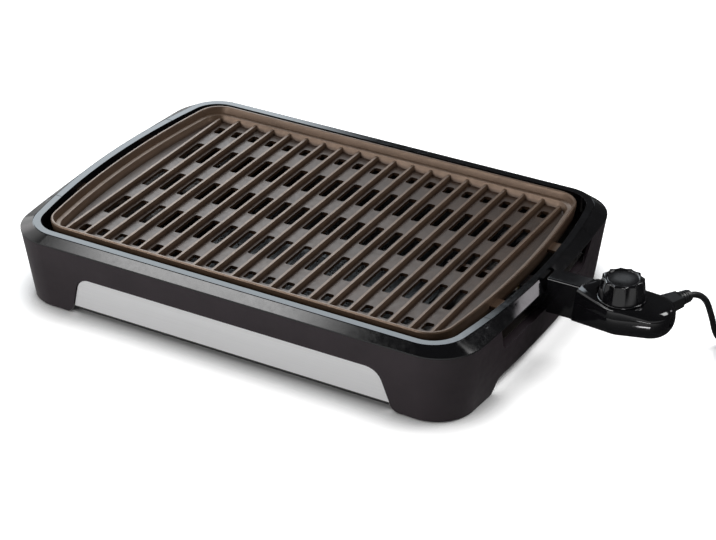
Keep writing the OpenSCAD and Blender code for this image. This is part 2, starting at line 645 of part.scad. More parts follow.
// The top falls away from the dial towards the cord.
module upper_form(t) {
  seat = dial_seat - t;
  crown = t > 0 ? seat : block_top;
  module wide_end() {
    disc(dial_c, part_z, part_z + 4, nose_r - t);
    turned_in(dial_c, part_z + 4, seat - part_z - 4, nose_r - t, 2.2);
  }
  hull() {
    translate([shell_x, -block_w / 2 + t, part_z]) cube([18, block_w - 2 * t, min(12, crown - part_z)]);
    translate([shell_x, -block_w / 2 + 3 + t, part_z]) cube([18, block_w - 6 - 2 * t, crown - part_z]);
    wide_end();
  }
  hull() {
    wide_end();
    disc(tail_c, part_z, part_z + 1, tail_r - t);
    turned_in(tail_c, part_z + 1, 7.5 - t, tail_r - t, 10);
  }
}
relief_x0 = tail_r - 4;
module at_relief() { translate([tail_c[0], tail_c[1], part_z]) rotate([0, 0, cord_turn]) children(); }
// The relief's flat-sided root, grown by g: it tapers away from the housing.
module relief_root(g) {
  skin([for (k = [0, 1]) let (x = relief_x0 - g + (17 + g) * k, w = 8.6 - 1.6 * k + g, h = 6 - 0.7 * k + g)
    [[x, -w, -h], [x, w, -h], [x, w, h], [x, -w, h]]], false);
}
// Seat of the strain relief, cut from both shells.
module relief_seat() {
  at_relief() {
    rod_x(relief_x0 - 4, tail_r + 9, 0, 0, 5.5 + run);
    relief_root(run);
  }
}
module probe_lower_shell() {
  color("#121214") difference() {
    union() {
      difference() {
        lower_form(0);
        difference() {
          translate([0, 0, eps]) lower_form(shell_t);
          at_probe_screws() translate([0, 0, block_z0]) cylinder(h = part_z - block_z0 - 0.05, r = 3.6);
        }
      }
      for (x = [-8, 10]) translate([dial_x + x, 0, block_z0 + 1]) cylinder(h = base_z0 - block_z0 - 1, r = 3);
    }
    seam_side(0.1);
    at_probe_screws() translate([0, 0, block_z0 - 1]) cylinder(h = 40, r = 1.4 + run);
    at_probe_screws() translate([0, 0, block_z0 - 1]) cylinder(h = 3.6, r = 2.8);
    relief_seat();
  }
}
module probe_upper_shell() {
  color("#121214") difference() {
    upper_form(0);
    difference() {
      translate([-eps, 0, -eps]) upper_form(shell_t);
      at_probe_screws() translate([0, 0, part_z + 0.05]) cylinder(h = 20, r = 3.6);
    }
    seam_side(0.1);
    translate([dial_x, 0, dial_seat]) cylinder(h = 12, r = dial_d / 2 + 1.8);
    translate([dial_x, 0, part_z]) cylinder(h = 20, r = 4.9 + run);
    at_probe_screws() translate([0, 0, part_z - 1]) cylinder(h = 7, r = 1.3);
    relief_seat();
  }
}
module probe_screws() {
  color("#9a9a9a") at_probe_screws() {
    translate([0, 0, block_z0 + 0.4]) cylinder(h = 2.2, r = 2.6);
    translate([0, 0, block_z0 + 2.5]) cylinder(h = part_z + 5 - block_z0 - 2.5, r = 1.25);
  }
}
module sensor_rod() {
  tip_x = boss_x0 + 7;
  color("#8d8e90") union() {
    rod_x(tip_x, dial_x - 27, 0, rod_z, rod_d / 2);
    translate([tip_x, 0, rod_z]) sphere(r = rod_d / 2);
  }
}
module contact_sleeves() {
  color("#c8b26a") for (y = [-pin_y, pin_y]) difference() {
    rod_x(neck_x0 + 1, block_x0 + 11, y, element_z, sleeve_r);
    rod_x(neck_x0, block_x0 + 9, y, element_z, pin_d / 2 + run + 0.05);
  }
}
module bus_rods() {
  color("#c8b26a") for (y = [-pin_y, pin_y]) rod_x(block_x0 + 11, dial_x - 13.2, y, element_z, 1.2);
}
base_z0 = block_z0 + 6.4;
base_z1 = element_z - 3.4;
module thermostat_base() {
  color("#e9e4d8") difference() {
    translate([dial_x - 14, -8, base_z0]) cube([29, 16, base_z1 - base_z0]);
    translate([dial_x + 10, 0, base_z0 - 1]) cylinder(h = 20, r = 1.5 + run);
  }
}
blade_z = base_z1 + 2;
module switch_blades() {
  color("#c8b26a") for (s = [-1, 1]) difference() {
    union() {
      translate([dial_x - 13, s * 6.5 - 1, base_z1]) cube([5, 2, 2.3]);
      translate([dial_x - 13, s > 0 ? -3 : -7.5, blade_z + (s > 0 ? 2.4 : 0)]) cube([27, s > 0 ? 10.5 : 6.5, 0.5]);
      translate([dial_x - 5, -2, blade_z + (s > 0 ? 1.7 : 0.4)]) cylinder(h = 0.8, r = 1.8);
    }
    translate([dial_x + 10, 0, base_z1 - 1]) cylinder(h = 20, r = 2.6);
  }
}
module blade_spacers() {
  color("#e9e4d8") translate([dial_x + 10, 0, 0]) difference() {
    union() {
      translate([0, 0, base_z1]) cylinder(h = 2, r = 3.6);
      translate([0, 0, base_z1 + 1]) cylinder(h = 4.5, r = 2.5);
      translate([0, 0, blade_z + 0.5]) cylinder(h = 1.9, r = 3.6);
      translate([0, 0, blade_z + 2.9]) cylinder(h = 1.2, r = 3.6);
    }
    translate([0, 0, base_z1 - 1]) cylinder(h = 20, r = 1.5 + run);
  }
}
module blade_rivet() {
  color("#9a9a9a") translate([dial_x + 10, 0, 0]) {
    translate([0, 0, base_z0 + 0.5]) cylinder(h = blade_z + 4.1 - base_z0 - 0.5, r = 1.5);
    translate([0, 0, blade_z + 4.1]) cylinder(h = 1, r = 2.8);
  }
}
// A straight round rod between two points.
module rod(a, b, r) {
  d = b - a;
  translate(a) rotate([0, acos(d[2] / norm(d)), atan2(d[1], d[0])]) cylinder(h = norm(d), r = r);
}
module lead_wires() {
  color("#d8d4c8") for (s = [-1, 1]) rod(
    [tail_c[0] + 5.6 - s * 1.6, tail_c[1] + 11.2 + s * 0.8, part_z - 4],
    [dial_x + 16.2, s * 4, base_z1 - 2.5], 0.9);
}
module dial_bush() {
  color("#c8b26a") translate([dial_x, 0, 0]) difference() {
    union() {
      translate([0, 0, dial_seat - shell_t - 2.15]) cylinder(h = 2, r = 7);
      translate([0, 0, dial_seat - shell_t - 0.2]) cylinder(h = shell_t + 0.4, r = 4.9);
    }
    translate([0, 0, part_z]) cylinder(h = 20, r = 3 + run);
  }
}
dial_z0 = dial_seat + part_gap;
skirt_h = 1.8;
knob_z0 = dial_z0 + skirt_h;
module d_shaft(z0, z1, r) {
  difference() {
    translate([0, 0, z0]) cylinder(h = z1 - z0, r = r);
    translate([r - 0.8, -r - 1, knob_z0]) cube([2 * r, 2 * r + 2, z1 - z0]);
  }
}
module dial_shaft() { color("#b5b6b8") translate([dial_x, 0, 0]) d_shaft(blade_z + 3.3, knob_z0 + 13, 3); }
module dial_skirt() {
  color("#121214") translate([dial_x, 0, 0]) difference() {
    translate([0, 0, dial_z0]) cylinder(h = skirt_h, r = dial_d / 2 + 1.2);
    translate([0, 0, dial_z0 - 1]) cylinder(h = skirt_h + 2, r = 3 + run);
  }
}
module dial_knob() {
  grip_r = 84 / dial_grips;
  grip_lean = 13;                      // leaning scallops run out near the foot
  r0 = dial_d / 2;
  r1 = r0 - 2;
  top = knob_z0 + dial_h;
  color("#121214") translate([dial_x, 0, 0]) difference() {
    rotate_extrude() polygon([
      [0, knob_z0], [r0, knob_z0], [r1, top - 2.5], [r1 - 0.8, top - 0.8], [r1 - 2.2, top],
      [r1 - 3.2, top], [r1 - 3.2, top - 1.6], [0, top - 1.6]]);
    for (i = [0:dial_grips - 1]) rotate([0, 0, (i + 0.5) * 360 / dial_grips])
      translate([r0 + grip_r - 0.35, 0, knob_z0 + 3]) rotate([0, -grip_lean, 0])
        translate([0, 0, -6]) cylinder(h = dial_h + 8, r = grip_r);
    difference() {
      translate([0, 0, knob_z0 - 1]) cylinder(h = 14.4, r = 3 + run);
      translate([3 + run - 0.8, -5, knob_z0 - 1.5]) cube([5, 10, 16]);
    }
  }
}
module dial_cap() {
  top = knob_z0 + dial_h;
  color("#2a2b2e") translate([dial_x, 0, top - 1.6]) cylinder(h = 1.1, r = dial_d / 2 - 2 - 3.4);
}

// ================= cord =================
module strain_relief() {
  tip = tail_r + relief_l;
  rib_r = 7;
  color("#121214") at_relief() difference() {
    union() {
      rod_x(relief_x0 - 3.5, tip, 0, 0, 5.5);
      translate([relief_x0 - 6, -8, -6]) cube([2.5 + eps, 16, 9.5]);
      relief_root(0);
      for (k = [0:3]) rod_x(tip - 13.2 + 3 * k, tip - 11.2 + 3 * k, 0, 0, rib_r - 0.25 * k);
    }
    rod_x(relief_x0 - 10, tip + 1, 0, 0, cord_d / 2 + 0.5);
  }
}
module cord_lead() {
  start = [tail_c[0] + cord_u[0] * (relief_x0 - 8), tail_c[1] + cord_u[1] * (relief_x0 - 8), part_z];
  color("#151515") tube(concat([start], route), cord_d / 2, 10, [-cord_u[1], cord_u[0], 0]);
}

// The turns lie two wide and two high, with the last turn on top.
module cord_coil() {
  r0 = coil_d / 2 - cord_d - 0.1;
  r1 = coil_d / 2 + cord_d + 0.1;
  t0 = coil_d / 2 - cord_d / 2 - 0.2;
  t1 = coil_d / 2 + cord_d / 2 + 0.2;
  color("#151515") translate([coil_c[0], coil_c[1], 0]) rotate_extrude() polygon(rounded(
    [[r0, 0.1], [r1, 0.1], [r1, 2 * cord_d], [t1, 2 * cord_d], [t1, coil_h], [t0, coil_h], [t0, 2 * cord_d], [r0, 2 * cord_d]],
    [2, 2, 2, 0, 2, 2, 0, 2]));
}
module cord_tail() { color("#151515") tube(tail_route, cord_d / 2, 10, [0, 0, 1]); }
module cord_tie() {
  w = 2 * cord_d + 1.2;
  translate([coil_c[0], coil_c[1], 0]) rotate([0, 0, tie_turn]) translate([coil_d / 2, -4, 0])
    color("#202020") difference() {
      translate([-w / 2 - 1, 0, 0.02]) cube([w + 2, 8, coil_h + 1.2]);
      translate([-w / 2, -1, 0.1]) cube([w, 10, coil_h + 0.1]);
    }
}
module plug_frame() { translate(plug_at) rotate([0, 0, plug_turn]) children(); }
module plug_body() {
  color("#151515") plug_frame() skin([for (s = [[0, 4.4, 4.4], [9, 5.6, 5], [12, 9, 6.4], [33, 12, 6.8], [35, 11.4, 6.2]])
    [[s[0], -s[1], -s[2]], [s[0], s[1], -s[2]], [s[0], s[1], s[2]], [s[0], -s[1], s[2]]]], false);
}
module plug_blades() {
  color("#c8b26a") plug_frame() for (s = [-1, 1]) translate([35, s * 6.35 - 0.75, -3.2]) cube([17, 1.5, 6.4]);
}

base_housing();
base_cover();
cover_screws();
rubber_feet();
bezel_front();
bezel_rear();
heat_shield();
shield_rivets();
grill_plate();
heating_element();
terminal_pins();
terminal_bushes();
terminal_bracket();
bracket_screws();
handle_left();
handle_right();
handle_screws();
drip_tray();
tray_front();
front_panel();
tray_screws();
probe_neck();
probe_block();
probe_lower_shell();
probe_upper_shell();
probe_screws();
sensor_rod();
contact_sleeves();
bus_rods();
thermostat_base();
switch_blades();
blade_spacers();
blade_rivet();
lead_wires();
dial_bush();
dial_shaft();
dial_knob();
dial_skirt();
dial_cap();
strain_relief();
cord_lead();
cord_coil();
cord_tail();
cord_tie();
plug_body();
plug_blades();
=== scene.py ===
# %% [markdown]
# An open electric table grill, finished on top of its CAD frame. The frame gives every piece its
# place in metres, +Z up, with the origin on the table midway between the four feet, -Y towards the
# brushed front panel and +X towards the end where the thermostat probe plugs in.

# %% Load the frame
import bpy
import bmesh
import json
import math
from mathutils import Matrix, Vector

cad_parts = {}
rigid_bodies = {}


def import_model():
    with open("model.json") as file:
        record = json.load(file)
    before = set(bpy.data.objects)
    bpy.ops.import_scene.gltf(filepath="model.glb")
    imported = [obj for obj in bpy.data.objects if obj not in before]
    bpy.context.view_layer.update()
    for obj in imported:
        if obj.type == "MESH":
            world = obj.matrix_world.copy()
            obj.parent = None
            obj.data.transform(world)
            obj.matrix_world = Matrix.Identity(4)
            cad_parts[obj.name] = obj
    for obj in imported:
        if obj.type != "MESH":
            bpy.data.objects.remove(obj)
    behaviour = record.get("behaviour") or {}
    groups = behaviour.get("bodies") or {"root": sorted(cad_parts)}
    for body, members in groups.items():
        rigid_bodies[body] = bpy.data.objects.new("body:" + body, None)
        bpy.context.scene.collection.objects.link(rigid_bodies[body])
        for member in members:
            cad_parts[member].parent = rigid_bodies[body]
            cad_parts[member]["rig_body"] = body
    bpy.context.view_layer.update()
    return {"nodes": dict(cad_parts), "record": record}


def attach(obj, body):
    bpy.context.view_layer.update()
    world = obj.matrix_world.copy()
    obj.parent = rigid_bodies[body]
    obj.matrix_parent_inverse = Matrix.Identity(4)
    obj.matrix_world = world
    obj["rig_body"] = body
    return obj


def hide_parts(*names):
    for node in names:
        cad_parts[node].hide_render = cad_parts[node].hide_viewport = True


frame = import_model()
nodes = frame["nodes"]
MM = 0.001
scene = bpy.context.scene

# %% [markdown]
# The camera stands in front of the grill's right corner and looks down at about thirty degrees,
# with a long lens, as a product picture is taken. Its three directions are written out, because a
# long lens shows an error of a tenth of a degree.

# %% Camera
view_right = Vector((0.8706, 0.4920, 0.0))
view_up = Vector((-0.2461, 0.4355, 0.8659))
view_back = Vector((0.4260, -0.7539, 0.5002))
ASIDE, BELOW, AWAY = 0.04261, 0.06129, 2.1792     # from the middle of the plate's rim, in metres
RIM_MIDDLE = Vector((0, 0, 0.086))
SENSOR_W, PICTURE_W, FOCAL_PIXELS = 36, 716, 2184.93
camera_at = view_right * ASIDE - view_up * BELOW + view_back * AWAY + RIM_MIDDLE
lens = bpy.data.cameras.new("camera")
lens.sensor_width = SENSOR_W
lens.lens = SENSOR_W * FOCAL_PIXELS / PICTURE_W
lens.clip_end = 50
camera = bpy.data.objects.new("camera", lens)
camera.matrix_world = Matrix(
    [[view_right[i], view_up[i], view_back[i], camera_at[i]] for i in range(3)] + [[0, 0, 0, 1]])
scene.collection.objects.link(camera)
scene.camera = camera
print("camera:", [round(x, 3) for x in camera_at], "lens", round(lens.lens, 1), "mm")

# %% [markdown]
# The probe's lead is a mains cord in a soft black sheath. It comes out of its rubber boot, goes
# straight on for a few diameters, bends down under its own weight to the table and runs out to a
# coil tied up for storage. The coil lies two turns wide and two high, with a last turn on top that
# ends at the plug. A Bezier curve through the route's points gives a cord that never kinks, and its
# round bevel makes the sheath.

# %% The lead's route
CORD_D = 6.2 * MM
COIL_X, COIL_Y = 448, 88.5     # the coil's middle, in mm like every route here
COIL_START, COIL_TURNS = 147, 4.08     # degrees, turns
lead_route = [
    (363.38, 17.74, 70), (368.86, 28.97, 70), (374.25, 40.0, 70), (379.6, 51, 69.8), (383.2, 57.2, 68.5),
    (386.8, 62.6, 65.2), (389.8, 67.1, 60), (391.9, 70.4, 53.5), (394, 73.5, 44), (396, 76.3, 34),
    (398, 79.5, 22), (400.2, 82.9, 14), (403.2, 87.6, 8.2), (407, 93.6, 4.4), (411.5, 100.4, 3.2)]
plug_route = [(440, 121.6, 18.4), (448, 122.5, 20.4), (456, 121.3, 22.4), (464, 117.6, 24.2),
              (469.4, 113.3, 25)]
# One row for each stretch of the coil: turns done, distance from the middle and height, in mm.
coil_steps = [(0, 37.1, 3.2), (0.8, 37.1, 3.2), (1, 30.9, 3.2), (1.6, 30.9, 3.2), (1.8, 30.9, 9.4),
              (2.4, 30.9, 9.4), (2.6, 37.1, 9.4), (3.2, 37.1, 9.4), (3.4, 37.1, 15.6),
              (COIL_TURNS, 33.9, 16.8)]
TURN_POINTS = 16


def eased(t):
    """The coil's distance and height after t turns, easing in and out of each step."""
    for (t0, r0, z0), (t1, r1, z1) in zip(coil_steps, coil_steps[1:]):
        if t <= t1:
            s = (1 - math.cos(math.pi * (t - t0) / (t1 - t0))) / 2
            return r0 + (r1 - r0) * s, z0 + (z1 - z0) * s


coil_route = []
for i in range(int(COIL_TURNS * TURN_POINTS) + 1):
    r, z = eased(i / TURN_POINTS)
    turn = math.radians(COIL_START - 360 * i / TURN_POINTS)
    coil_route.append((COIL_X + r * math.cos(turn), COIL_Y + r * math.sin(turn), z))
cord_points = [Vector(p) * MM for p in lead_route + coil_route + plug_route]
print("lead: route of", len(cord_points), "points")

# %% [markdown]
# The lead is one curve. A swept mesh tube would do as well, but a curve keeps its length to be
# measured and its round bevel never pinches in a bend. Each point's handles lie along the line from
# the point before to the point after it, which keeps the bends even.

# %% The lead
sheath = bpy.data.curves.new("probe_lead", "CURVE")
sheath.dimensions = "3D"
sheath.bevel_depth = 1
sheath.bevel_resolution = 5
sheath.resolution_u = 6
sheath.use_fill_caps = True
spline = sheath.splines.new("BEZIER")
spline.bezier_points.add(len(cord_points) - 1)
last = len(cord_points) - 1
for i, point in enumerate(spline.bezier_points):
    before, at, after = cord_points[max(i - 1, 0)], cord_points[i], cord_points[min(i + 1, last)]
    along = (after - before).normalized()
    point.handle_left_type = point.handle_right_type = "FREE"
    point.co, point.radius = at, CORD_D / 2
    point.handle_left = at - along * (at - before).length / 3
    point.handle_right = at + along * (after - at).length / 3
probe_lead = bpy.data.objects.new("probe_lead", sheath)
scene.collection.objects.link(probe_lead)
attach(probe_lead, "probe")
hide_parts("cord_lead", "cord_coil", "cord_tail")

# %% [markdown]
# Each finish is one Principled shader. Real mouldings and sheet metal are never one even colour, so
# every finish gets a little mottling, a roughness that wanders and a fine relief. One helper builds
# the shader and hands back small tools to wire these in; sizes are given in millimetres.

# %% The finish helper
finishes = {}


class Finish:
    """One material: a Principled shader and the noise that is wired into it."""

    def __init__(self, slot, metallic=0.0, coat=0.0, coat_roughness=0.05, specular=0.5):
        self.material = bpy.data.materials.new(slot)
        self.material.use_nodes = True
        self.tree = self.material.node_tree
        self.shader = self.tree.nodes["Principled BSDF"]
        self.shader.inputs["Metallic"].default_value = metallic
        self.shader.inputs["Coat Weight"].default_value = coat
        self.shader.inputs["Coat Roughness"].default_value = coat_roughness
        self.shader.inputs["Specular IOR Level"].default_value = specular
        self.place = self.tree.nodes.new("ShaderNodeTexCoord").outputs["Object"]
        finishes[slot] = self.material
        print("finish:", slot)

    def stretched(self, stretch):
        """Coordinates squeezed along an axis, for grain that runs one way."""
        mapping = self.tree.nodes.new("ShaderNodeMapping")
        mapping.inputs["Scale"].default_value = stretch
        self.tree.links.new(self.place, mapping.inputs["Vector"])
        return mapping.outputs["Vector"]

    def noise(self, size_mm, detail=2.0, stretch=None, roughness=0.5):
        """Soft blotches of about a size."""
        node = self.tree.nodes.new("ShaderNodeTexNoise")
        node.inputs["Scale"].default_value = 1000 / size_mm
        node.inputs["Detail"].default_value = detail
        node.inputs["Roughness"].default_value = roughness
        self.tree.links.new(self.stretched(stretch) if stretch else self.place, node.inputs["Vector"])
        return node.outputs["Fac"]

    def cells(self, size_mm):
        """The distance from the nearest of many scattered points, for specks and flakes."""
        node = self.tree.nodes.new("ShaderNodeTexVoronoi")
        node.inputs["Scale"].default_value = 1000 / size_mm
        self.tree.links.new(self.place, node.inputs["Vector"])
        return node.outputs["Distance"]

    def spread(self, value, low, high, from_low=0.3, from_high=0.7):
        """The value's range from_low to from_high, spread over low to high."""
        node = self.tree.nodes.new("ShaderNodeMapRange")
        limits = {"From Min": from_low, "From Max": from_high, "To Min": low, "To Max": high}
        for name, number in limits.items():
            node.inputs[name].default_value = number
        self.tree.links.new(value, node.inputs["Value"])
        return node.outputs["Result"]

    def between(self, value, first, second):
        """A colour that goes from first to second as the value goes from 0 to 1."""
        node = self.tree.nodes.new("ShaderNodeMix")
        node.data_type = "RGBA"
        for socket, colour in ((6, first), (7, second)):
            if isinstance(colour, tuple):
                node.inputs[socket].default_value = (*colour, 1)
            else:
                self.tree.links.new(colour, node.inputs[socket])
        self.tree.links.new(value, node.inputs[0])
        return node.outputs[2]

    def colour(self, value):
        self.tree.links.new(value, self.shader.inputs["Base Color"])

    def mottled(self, value, first, second):
        """Lets the colour wander between two tones as a noise does."""
        self.colour(self.between(self.spread(value, 0, 1), first, second))

    def roughness(self, value):
        self.tree.links.new(value, self.shader.inputs["Roughness"])

    def metal(self, value):
        self.tree.links.new(value, self.shader.inputs["Metallic"])

    def relief(self, height, depth_mm, strength):
        """Lets the surface stand proud by a depth where the value is high."""
        node = self.tree.nodes.new("ShaderNodeBump")
        node.inputs["Distance"].default_value = depth_mm * MM
        node.inputs["Strength"].default_value = strength
        self.tree.links.new(height, node.inputs["Height"])
        self.tree.links.new(node.outputs["Normal"], self.shader.inputs["Normal"])

# %% [markdown]
# The body is a satin moulding, dark with a touch of plum. Its mould was spark-eroded, which leaves
# an even, very fine grain that spreads the light of the lamps into a soft sheen.

# %% Satin body plastic
body_plastic = Finish("body_plastic", specular=0.28)
body_plastic.mottled(body_plastic.noise(38, 3), (0.0235, 0.0170, 0.0205), (0.031, 0.0225, 0.027))
body_plastic.roughness(body_plastic.spread(body_plastic.noise(9, 4), 0.36, 0.46))
body_plastic.relief(body_plastic.noise(0.55, 2), 0.035, 0.55)

# %% [markdown]
# The frame around the plate, the handles and the probe's housing are polished black mouldings. A
# polished moulding still has a faint waviness, and a haze of fine marks where hands wipe it.

# %% Gloss black plastic
gloss_black = Finish("gloss_black", specular=0.5)
gloss_black.mottled(gloss_black.noise(24, 3), (0.0035, 0.0035, 0.0042), (0.006, 0.006, 0.007))
gloss_black.roughness(gloss_black.spread(gloss_black.noise(6, 5, roughness=0.7), 0.05, 0.14))
gloss_black.relief(gloss_black.noise(16, 2), 0.04, 0.25)

# %% [markdown]
# The plate is cast aluminium under a sprayed bronze non-stick coat. The spray leaves a fine
# pebbled skin with metal flakes in it. The coat's colour carries painted shade and a painted highlight:
# it goes from dark on the floor between the ribs to light on the ribs and the rim, by height alone.

# %% Bronze non-stick coating
nonstick = Finish("nonstick", specular=0.4)
PAN_DEPTH, SHADE_FADE_FROM, SHADE_FADE_TO = 14, 0.3, 3.2     # mm; the fade from the painted shade to the painted highlight is measured from the floor
plate_rim = max(corner.co.z for corner in nodes["grill_plate"].data.vertices)
plate_floor = plate_rim - PAN_DEPTH * MM
height = nonstick.tree.nodes.new("ShaderNodeSeparateXYZ")
nonstick.tree.links.new(nonstick.place, height.inputs[0])
# Painted shade and highlight: by height alone, the coat is darkened on the floor between the ribs and
# lightened on the rib tops and the rim.
shade_to_highlight = nonstick.spread(height.outputs["Z"], 0, 1, plate_floor + SHADE_FADE_FROM * MM, plate_floor + SHADE_FADE_TO * MM)
tone = nonstick.spread(nonstick.noise(30, 4), 0, 1)
flakes = nonstick.spread(nonstick.cells(0.45), 1, 0, 0.05, 0.4)
painted_shade_tone = nonstick.between(tone, (0.036, 0.020, 0.012), (0.052, 0.029, 0.017))
painted_highlight_tone = nonstick.between(tone, (0.110, 0.070, 0.046), (0.140, 0.090, 0.060))
flake_shade_to_highlight = nonstick.between(shade_to_highlight, (0.155, 0.090, 0.050), (0.40, 0.27, 0.175))
coat = nonstick.between(shade_to_highlight, painted_shade_tone, painted_highlight_tone)
nonstick.colour(nonstick.between(nonstick.spread(flakes, 0, 0.5, 0, 1), coat, flake_shade_to_highlight))
nonstick.metal(nonstick.spread(flakes, 0.35, 0.80, 0, 1))
nonstick.roughness(nonstick.spread(nonstick.noise(5, 4), 0.28, 0.38))
nonstick.relief(nonstick.noise(0.9, 3), 0.05, 0.4)
print("plate floor at", round(plate_floor / MM, 1), "mm")

# %% [markdown]
# The front panel is a strip of stainless steel brushed along its length. The brush leaves long
# fine scratches, so the relief and the roughness are noise stretched two hundred times along X.

# %% Brushed steel panel
brushed_panel = Finish("brushed_panel", metallic=0.55)
brush = brushed_panel.noise(0.5, 4, (0.004, 1, 1), 0.7)
brushed_panel.mottled(brush, (0.90, 0.90, 0.905), (0.97, 0.97, 0.975))
brushed_panel.roughness(brushed_panel.spread(brush, 0.38, 0.48))
brushed_panel.relief(brush, 0.006, 0.4)

# %% [markdown]
# The drip tray is pressed sheet with a baked enamel: smooth, dark and faintly speckled.

# %% Tray enamel
tray_black = Finish("tray_black", coat=0.3, coat_roughness=0.12)
specks = tray_black.spread(tray_black.cells(1.6), 1, 0, 0.08, 0.16)
tray_black.colour(tray_black.between(specks, (0.014, 0.014, 0.015), (0.060, 0.060, 0.062)))
tray_black.roughness(tray_black.spread(tray_black.noise(7, 4), 0.24, 0.38))
tray_black.relief(tray_black.noise(3.5, 2), 0.05, 0.35)

# %% [markdown]
# The bottom cover and the tray's carrier are plain moulded parts that nobody polishes. They get the
# same kind of mottling as the body, with more roughness and a coarser grain.

# %% Matt cover plastic
cover_plastic = Finish("cover_plastic", specular=0.4)
cover_plastic.mottled(cover_plastic.noise(20, 3), (0.014, 0.013, 0.014), (0.022, 0.021, 0.022))
cover_plastic.roughness(cover_plastic.spread(cover_plastic.noise(5, 4), 0.50, 0.64))
cover_plastic.relief(cover_plastic.noise(0.8, 2), 0.06, 0.6)

# %% [markdown]
# Under the plate the heat shield is bare sheet steel that has gone dark with heat. Heat colours
# steel in broad patches, so a broad noise moves it from a dark grey to a dark brown.

# %% Heat shield steel
reflector = Finish("reflector", metallic=1.0)
reflector.mottled(reflector.noise(70, 3), (0.085, 0.080, 0.078), (0.060, 0.050, 0.042))
reflector.roughness(reflector.spread(reflector.noise(4, 4, (0.15, 1, 1)), 0.34, 0.52))
reflector.relief(reflector.noise(1.2, 3, (0.1, 1, 1)), 0.02, 0.5)

# %% [markdown]
# The element is a steel tube that has scaled in use. Scale is patchy and dull, so the colour
# wanders between a near black and a warm grey, and the surface stays rough.

# %% Element sheath
element_sheath = Finish("element_sheath", metallic=0.8)
element_sheath.mottled(element_sheath.noise(6, 5), (0.035, 0.032, 0.030), (0.085, 0.070, 0.058))
element_sheath.roughness(element_sheath.spread(element_sheath.noise(2, 4), 0.50, 0.75))
element_sheath.relief(element_sheath.noise(1.0, 3), 0.05, 0.5)

# %% [markdown]
# Screws, rivets, small brackets, the dial's shaft and the probe's feeler are plated steel: bright,
# a little uneven and not quite a mirror.

# %% Plated steel
steel = Finish("steel", metallic=1.0)
steel.mottled(steel.noise(3, 4), (0.42, 0.42, 0.43), (0.56, 0.56, 0.57))
steel.roughness(steel.spread(steel.noise(1.5, 4), 0.26, 0.42))
steel.relief(steel.noise(0.6, 3), 0.01, 0.5)

# %% [markdown]
# The plug's blades and the contacts are brass. It has a colour of its own, which a metal takes from
# the base colour, so two tones of yellow are enough.

# %% Contact metal
contact_metal = Finish("contact_metal", metallic=1.0)
contact_metal.mottled(contact_metal.noise(4, 4), (0.62, 0.50, 0.26), (0.70, 0.60, 0.36))
contact_metal.roughness(contact_metal.spread(contact_metal.noise(2, 4), 0.24, 0.42))
contact_metal.relief(contact_metal.noise(0.7, 3), 0.01, 0.5)

# %% [markdown]
# The bushes of the element's pins and the switch's base are unglazed ceramic, chalky and slightly
# stained.

# %% Ceramic
ceramic = Finish("ceramic", specular=0.5)
ceramic.mottled(ceramic.noise(2.5, 5), (0.66, 0.62, 0.54), (0.76, 0.73, 0.66))
ceramic.roughness(ceramic.spread(ceramic.noise(4, 3), 0.35, 0.55))
ceramic.relief(ceramic.noise(0.8, 3), 0.03, 0.5)

# %% [markdown]
# The feet are black rubber. Rubber hardly shines, so it has the highest roughness here and a coarse
# relief.

# %% Foot rubber
rubber = Finish("rubber", specular=0.3)
rubber.mottled(rubber.noise(8, 4), (0.016, 0.016, 0.016), (0.030, 0.029, 0.028))
rubber.roughness(rubber.spread(rubber.noise(3, 4), 0.62, 0.85))
rubber.relief(rubber.noise(0.7, 3), 0.06, 0.6)

# %% [markdown]
# The wires inside the probe run in woven glass-fibre sleeves. The weave is only hinted at by a
# noise that is stretched along one axis.

# %% Glass-fibre wire sleeve
wire_sleeve = Finish("wire_sleeve", specular=0.3)
braid = wire_sleeve.noise(0.5, 1, (1, 1, 0.4))
wire_sleeve.mottled(braid, (0.48, 0.45, 0.38), (0.66, 0.63, 0.56))
wire_sleeve.roughness(wire_sleeve.spread(braid, 0.7, 0.9))
wire_sleeve.relief(braid, 0.1, 0.6)

# %% [markdown]
# The cord's sheath and its boot are soft vinyl: darker and duller than the polished housing, with a
# slight drag grain from the die it was pushed through.

# %% Cord sheath
cord_sheath = Finish("cord_sheath", specular=0.45)
cord_sheath.mottled(cord_sheath.noise(12, 4), (0.010, 0.010, 0.011), (0.017, 0.017, 0.018))
cord_sheath.roughness(cord_sheath.spread(cord_sheath.noise(3, 4), 0.34, 0.50))
cord_sheath.relief(cord_sheath.noise(1.1, 2), 0.03, 0.4)
print("finishes:", len(finishes), "in all")

# %% [markdown]
# The CAD solids that stay get their finish on their own slots. For the pieces that show, a copy of
# the CAD mesh gets its flat facets merged and its edges rounded by a bevel, because a real moulded
# or pressed edge always catches a line of light. Merged faces that aren't convex are split again: a
# long face that bends round an opening is easily filled across it.

# %% Dress the CAD nodes
slot_of = {part["node"]: part["material_slot"] for part in frame["record"]["subparts"]}
for name, node in nodes.items():
    node.data.materials.clear()
    node.data.materials.append(finishes[slot_of[name]])
probe_lead.data.materials.append(finishes["cord_sheath"])
print("dressed:", len(nodes), "CAD nodes and the lead")

# %% [markdown]
# A bevel modifier rounds the edges and stays changeable, where a bevel in the mesh would be fixed.
# A weighted-normal modifier after it keeps the flat faces flat in the light.

# %% Rounded edges
def level_shading(piece):
    """Flat faces shade flat and only the rounded edges between them turn."""
    normals = piece.modifiers.new("level_shading", "WEIGHTED_NORMAL")
    normals.weight = 60


def rounded(piece, edge_mm, angle):
    """Rounds the edges that are sharper than an angle."""
    edge = piece.modifiers.new("rounded_edges", "BEVEL")
    edge.width, edge.segments = edge_mm * MM, 2
    edge.limit_method, edge.angle_limit = "ANGLE", math.radians(angle)
    return edge


print("edges: rounded by a bevel, with flat faces kept flat")

